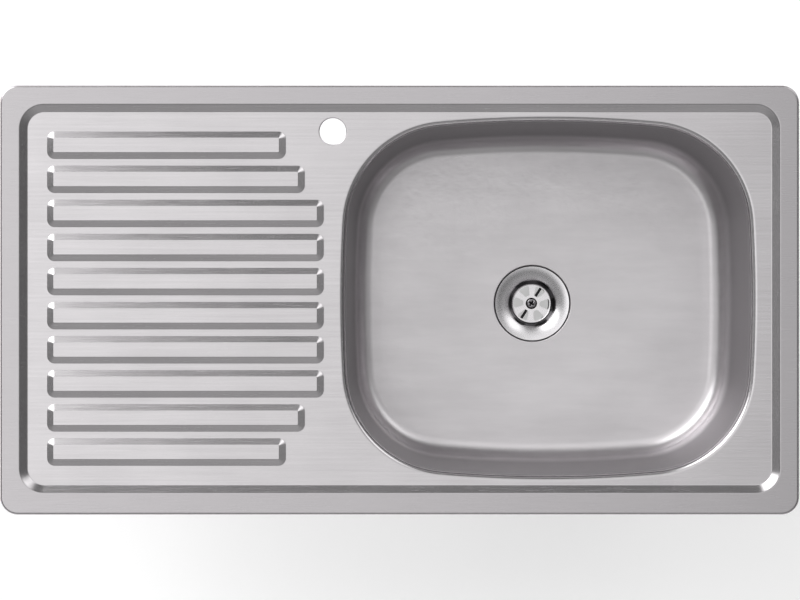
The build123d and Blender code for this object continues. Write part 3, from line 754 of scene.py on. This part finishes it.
def makePad(s):
    # a flat ring from the hole to the outline; its lower face is raised between square cells by
    # relief * (1 - slope * |sin| of the nearer cell line), and by the edge's height round its rims
    shape = {key: opening[key] - s["halfInset"] for key in opening}
    outline, _ = bulgedOutline(shape, perArc=60)
    outline = outline + bowlCentre
    angle = np.arctan2(outline[:, 1] - drainCentre[1], outline[:, 0] - drainCentre[0])
    hole = drainCentre + s["holeRadius"] * np.column_stack([np.cos(angle), np.sin(angle)])
    t = np.linspace(0, 1, s["rings"])[:, None]
    flat = outline[:, None] * (1 - t) + hole[:, None] * t
    top = bowlShape["floor"] - bowlShape["sheet"] - s["gap"]
    low = top - s["thickness"] + 2 * s["gap"]
    wave = np.abs(np.sin(np.pi * flat / s["cell"])).min(axis=2)
    groove = s["relief"] * (1 - np.clip(wave * s["cellSlope"], 0, 1))
    groove[:, [0, -1]] = s["edge"]
    under, over = raised(flat, low + groove), raised(flat[:, ::-1], top)
    shell = Shell()
    shell.grid(np.concatenate([under, over, under[:, :1]], axis=1))
    hold(shell.build("damping_pad", padBitumen), "sink", "sound_pad")


seamShape = {"out": 0.9, "halfWidth": 1.4, "height": 0.55, "sunk": 0.15, "ripple": 0.12, "ripplePitch": 1.6}


def makeSeam(s):
    # weld bead round the outside of the bowl, where it meets the collar: a flattened half round,
    # out = out - sunk + height * cos(a) * (1 + ripple * sin(2 pi run / pitch)), up = half width * sin(a)
    path, normals = bulgedOutline(opening, perArc=150)
    run = np.concatenate([[0], np.cumsum(np.linalg.norm(np.diff(path, axis=0), axis=1))])
    a = np.radians(np.linspace(-90, 90, 9))
    swell = 1 + s["ripple"] * np.sin(2 * np.pi * run / s["ripplePitch"])[:, None]
    out = s["out"] - s["sunk"] + s["height"] * np.cos(a)[None, :] * swell
    line = path[:, None] + bowlCentre
    up = s["halfWidth"] * np.sin(a) - topSheet["collar"]
    bead = raised(line + normals[:, None] * out[..., None], up)
    back = line + normals[:, None] * (s["out"] - 2 * s["sunk"])
    backLine = raised(np.repeat(back, 2, axis=1), up[[-1, 0]])
    shell = Shell()
    shell.grid(np.concatenate([bead, backLine, bead[:, :1]], axis=1))
    hold(shell.build("bowl_seam_weld", braceSteel), "sink", None)


makeFoam(sealShape)
makePad(padShape)
makeSeam(seamShape)
print("seal, pad and seam made")


copyShape = {"flatWithin": 0.5, "sharpFrom": 35}    # degrees between neighbouring faces


def softCopy(node, name, width, body, material):
    # the frame's own solid with its loose triangles merged and its sharp edges rounded
    mesh = bpy.data.objects[node].data.copy()
    mesh.name = name
    work = bmesh.new()
    work.from_mesh(mesh)
    bmesh.ops.remove_doubles(work, verts=work.verts, dist=mergeWithin)
    bmesh.ops.dissolve_limit(work, angle_limit=math.radians(copyShape["flatWithin"]),
                             verts=work.verts, edges=work.edges)
    bmesh.ops.recalc_face_normals(work, faces=work.faces)
    work.to_mesh(mesh)
    work.free()
    mesh.shade_smooth()
    mesh.set_sharp_from_angle(angle=math.radians(copyShape["sharpFrom"]))
    mesh.materials.clear()
    mesh.materials.append(material)
    piece = addObject(name, mesh)
    roundEdges(piece, width)
    hold(piece, body, node)


braceShape = {
    "softEdge": 0.2, "strip": 1.0, "weldRadius": 2.6, "weldTip": 0.2, "weldSunk": 0.05, "dent": 0.35,
    "flangeFromMiddle": 11.2, "weldPitch": 40.0, "perFlange": 8,
}


def makeBraces(s):
    # the folded strips, and a shallow round button at each spot weld under their flanges:
    # height = dent * cos(r * 90 degrees / radius)
    shell = Shell()
    for side in ("left", "right"):
        brace = "brace_" + side
        softCopy(brace, brace + "_strip", s["softEdge"], "sink", braceSteel)
        middle = middleOf(brace)
        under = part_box(brace)[1][2] / mm - s["strip"]
        r = np.linspace(s["weldRadius"], s["weldTip"], 7)
        swell = s["dent"] * np.cos(r / s["weldRadius"] * np.pi / 2)
        profile = np.column_stack([r, under + s["weldSunk"] - swell])
        for flange in (-1, 1):
            for k in np.arange(s["perFlange"]) - (s["perFlange"] - 1) / 2:
                place = (middle[0] + flange * s["flangeFromMiddle"], middle[1] + k * s["weldPitch"])
                button = turned(profile, count=20, centre=place)
                shell.grid(button)
                shell.ends(button)
    hold(shell.build("brace_spot_welds", braceSteel), "sink", None)


makeBraces(braceShape)

clampShape = {
    "screwRadius": 3.0, "pitch": 1.0, "threadDepth": 0.55, "threadGap": 0.02, "screwLength": 35.0,
    "headRadius": 5.5, "headHeight": 4.0, "headEdge": 0.9, "headBend": 0.3, "sideShare": 0.45, "neck": 1.0,
    "shoulderIn": 0.25, "shoulderUp": 0.15, "shoulderLow": 0.55, "crown": 0.35, "lastRow": 0.03,
    "slotWidth": 0.8, "slotDepth": 1.8, "slotWall": 0.05,
    "nutFlats": 10.0, "nutHeight": 5.0, "nutChamfer": 30.0, "nutFaceIn": 0.2, "nutBore": 3.05,
    "nutLevels": (0.0, 0.6, 0.8, 0.87, 0.93, 1.0), "shelfTop": -29.5,
    "clawEdge": 0.28, "bracketEdge": 0.2, "washerEdge": 0.15,
}
clampTurns = {"end_left": 90.0, "end_right": -90.0, "rear": 0.0, "front": 180.0}
clampNames = [node[len("clamp_screw_"):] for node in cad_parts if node.startswith("clamp_screw_")]


def clampTurn(name):
    return clampTurns.get(name, clampTurns.get(name.split("_")[0]))


def makeClampScrew(name, s):
    # cheese head with its slot below, then the threaded shank up to its end
    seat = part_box("clamp_washer_" + name)[0][2] / mm
    shell = Shell()
    face = placed(slottedHead(s), (0, 0, -s["headHeight"] + s["crown"]), flip=True)
    shell.grid(face, closed=False)
    rim = boundaryOf(face)
    rim = rim[np.argsort(np.arctan2(rim[:, 1], rim[:, 0]))]
    out = rim[:, :2] / np.linalg.norm(rim[:, :2], axis=1)[:, None]
    line = [(s["headRadius"], -s["headHeight"] * s["sideShare"]), (s["headRadius"], 0), (s["neck"], 0)]
    sideGrid = sweep(0 * out, out, bentLine(line, (s["headBend"],), perBend=4))
    shoulder = np.column_stack([out * (s["headRadius"] - s["shoulderIn"]),
                                np.maximum(rim[:, 2] + s["shoulderUp"], -s["headHeight"] + s["shoulderLow"])])
    shell.grid(np.stack([rim, shoulder, sideGrid[:, 0]], axis=1))
    shell.grid(sideGrid)
    shell.disc(sideGrid[:, -1], (0, 0, 0))
    thread = threadGrid(s["screwRadius"], s["pitch"], s["threadDepth"], s["screwLength"], s["threadGap"])
    shell.grid(thread, closed=False)
    shell.ends(thread[:-1], (0, 0))
    origin = (*middleOf("clamp_screw_" + name), seat)
    shell.points = [placed(part, origin, clampTurn(name)) for part in shell.points]
    piece = shell.build("clamp_screw_" + name + "_threaded", zincPlate)
    hold(piece, "screw_" + name, "clamp_screw_" + name)


def makeNuts(s):
    # hexagon radius(a) = half flats / cos(a folded into 60 degrees), cut by a cone at the top
    count, bore = 72, s["nutBore"]
    a = np.linspace(0, 2 * np.pi, count, endpoint=False)
    folded = (a + np.pi / 6) % (np.pi / 3) - np.pi / 6
    hexagon = s["nutFlats"] / 2 / np.cos(folded)
    levels = np.array(s["nutLevels"]) * s["nutHeight"]
    slope = math.tan(math.radians(s["nutChamfer"]))
    cone = s["nutFlats"] / 2 - s["nutFaceIn"] + (s["nutHeight"] - levels) / slope
    outer = np.minimum(hexagon[:, None], cone[None, :])
    radius = np.pad(outer, ((0, 0), (1, 2)), constant_values=bore)
    height = np.concatenate([[0.0], levels, [s["nutHeight"], 0.0]])
    x, y = radius * np.cos(a)[:, None], radius * np.sin(a)[:, None]
    grid = np.stack(np.broadcast_arrays(x, y, height[None, :]), axis=2)
    shell = Shell()
    for name in clampNames:
        shell.grid(placed(grid, (*middleOf("clamp_screw_" + name), s["shelfTop"]), clampTurn(name)))
    hold(shell.build("welded_nuts", zincPlate), "sink", "weld_nuts")


def makeClamp(name, s):
    makeClampScrew(name, s)
    for part, edge, body in (("claw", s["clawEdge"], "claw_" + name), ("bracket", s["bracketEdge"], "sink"),
                             ("washer", s["washerEdge"], "lift_" + name)):
        softCopy("clamp_" + part + "_" + name, part + "_" + name, edge, body, zincPlate)


makeNuts(clampShape)
for name in clampNames:
    makeClamp(name, clampShape)
print("braces and clamps made")


keptNodes = {
    "upper_waste_seal": (sealRubber, "seal_rubber"), "lower_waste_seal": (sealRubber, "seal_rubber"),
    "waste_insert": (brassInsert, "insert_brass"),
}
for node, (material, slotName) in keptNodes.items():
    piece = bpy.data.objects[node]
    piece.data.materials.clear()
    piece.data.materials.append(material)


stage = {
    "floorDrop": 0.002, "floorSize": 14.0, "floorTone": "#E8E8E8", "floorRoughness": 0.9, "floorGlow": 0.46,
    "cameraAt": (0.0003, 0.0001, 2.735), "frameWidth": 0.8, "sensorWidth": 36.0, "clipEnd": 50,
}    # metres, and millimetres for the sensor

# light tent: the level of each side's panel from the horizon up to the zenith, at these shares of the full
# height, and soft boxes as (azimuth, elevation, full within, gone beyond, level), angles in degrees
tent = {
    "heights": (0.0, 0.26, 0.5, 0.61, 0.71, 0.87, 0.966, 1.0),
    "left": (1.00, 0.42, 0.16, 0.30, 0.34, 0.14, 1.70, 1.03),
    "front": (1.20, 0.50, 0.34, 0.52, 0.40, 0.10, 0.76, 1.03),
    "right": (0.36, 0.05, 0.03, 0.26, 0.40, 0.05, 0.30, 1.03),
    "rear": (0.90, 0.30, 0.17, 0.12, 0.36, 0.88, 1.00, 1.03),
    "boxes": ((134, 30, 6, 31, 4.4), (45, 42, 4, 22, 1.5)),
}


def makeFloor(s):
    half = s["floorSize"] / 2
    low = cadBounds[0][2] - s["floorDrop"]
    mesh = bpy.data.meshes.new("studio_floor")
    corners = [(-half, -half, low), (half, -half, low), (half, half, low), (-half, half, low)]
    mesh.from_pydata(corners, [], [(0, 1, 2, 3)])
    # matt emulsion paint, rolled on: even and pale, with enough glow of its own, to the eye and in metal
    # only, to be the white background
    material, tree, shader = newMaterial("matt_painted_floor")
    shader.inputs["Base Color"].default_value = linearColour(s["floorTone"])
    shader.inputs["Roughness"].default_value = s["floorRoughness"]
    shader.inputs["Emission Color"].default_value = (1, 1, 1, 1)
    rays = addNode(tree, "ShaderNodeLightPath")
    seen, output = rays, "Is Camera Ray"
    for other in ("Is Glossy Ray", "Is Transmission Ray"):
        seen = addNode(tree, "ShaderNodeMath", {0: (seen, output), 1: (rays, other)}, operation="MAXIMUM")
        output = 0
    glow = addNode(tree, "ShaderNodeMath", {0: (seen, 0)}, {1: s["floorGlow"]}, operation="MULTIPLY")
    joinNode(tree, shader, {"Emission Strength": (glow, 0)})
    mesh.materials.append(material)
    addObject("studio_floor", mesh)


def makeWorld(s):
    # level(d) = x+^2 right(z) + x-^2 left(z) + y+^2 rear(z) + y-^2 front(z), for d's flat part of length 1,
    # plus each soft box, which fades between its two angles from its middle
    world = bpy.data.worlds.new("light_tent")
    bpy.context.scene.world = world
    world.use_nodes = True
    tree = world.node_tree
    tree.nodes.clear()
    way = addNode(tree, "ShaderNodeTexCoord")
    parts = addNode(tree, "ShaderNodeSeparateXYZ", {"Vector": (way, "Generated")})
    vector = "ShaderNodeVectorMath"
    flat = addNode(tree, vector, {0: (way, "Generated")}, {1: (1, 1, 0)}, operation="MULTIPLY")
    flat = addNode(tree, vector, {0: (flat, 0)}, operation="NORMALIZE")
    lights = []
    axes = {"right": (1, 0, 0), "left": (-1, 0, 0), "rear": (0, 1, 0), "front": (0, -1, 0)}
    for side, axis in axes.items():
        toward = addNode(tree, vector, {0: (flat, 0)}, {1: axis}, operation="DOT_PRODUCT")
        share = addNode(tree, "ShaderNodeMath", {0: (toward, "Value")}, {1: 0.0}, operation="MAXIMUM")
        light = addNode(tree, "ShaderNodeValToRGB", {"Fac": (parts, "Z")})
        for place in s["heights"][1:-1]:
            light.color_ramp.elements.new(place)
        for element, place, level in zip(light.color_ramp.elements, s["heights"], s[side]):
            element.position = place
            element.color = (level, level, level, 1)
        for power in (1, 2):
            light = addNode(tree, vector, {0: (light, 0), "Scale": (share, 0)}, operation="SCALE")
        lights.append(light)
    for azimuth, elevation, inner, outer, level in s["boxes"]:
        a, e = math.radians(azimuth), math.radians(elevation)
        middle = (math.cos(a) * math.cos(e), math.sin(a) * math.cos(e), math.sin(e))
        near = addNode(tree, vector, {0: (way, "Generated")}, {1: middle}, operation="DOT_PRODUCT")
        gone, full = math.cos(math.radians(outer)), math.cos(math.radians(inner))
        lights.append(addNode(tree, "ShaderNodeMapRange", {"Value": (near, "Value")},
                              interpolation_type="SMOOTHSTEP", FromMin=gone, FromMax=full, ToMax=level))
    total = lights[0]
    for light in lights[1:]:
        total = addNode(tree, vector, {0: (total, 0), 1: (light, 0)}, operation="ADD")
    lit = addNode(tree, "ShaderNodeBackground", {"Color": (total, 0)}, Strength=1.0)
    white = addNode(tree, "ShaderNodeBackground", Color=(1, 1, 1, 1), Strength=1.0)
    rays = addNode(tree, "ShaderNodeLightPath")
    seen = addNode(tree, "ShaderNodeMixShader", {0: (rays, "Is Camera Ray"), 1: (lit, 0), 2: (white, 0)})
    addNode(tree, "ShaderNodeOutputWorld", {"Surface": (seen, 0)})


def makeCamera(s):
    # lens = sensor * distance to the rim / width of the view there
    camera = bpy.data.cameras.new("camera")
    camera.sensor_width = s["sensorWidth"]
    camera.lens = s["sensorWidth"] * (s["cameraAt"][2] - topSheet["rimHeight"] * mm) / s["frameWidth"]
    camera.clip_end = s["clipEnd"]
    piece = addObject("camera", camera)
    piece.location = s["cameraAt"]
    bpy.context.scene.camera = piece


makeFloor(stage)
makeWorld(tent)
makeCamera(stage)
bpy.context.scene.view_settings.view_transform = "Standard"
print("stage made")
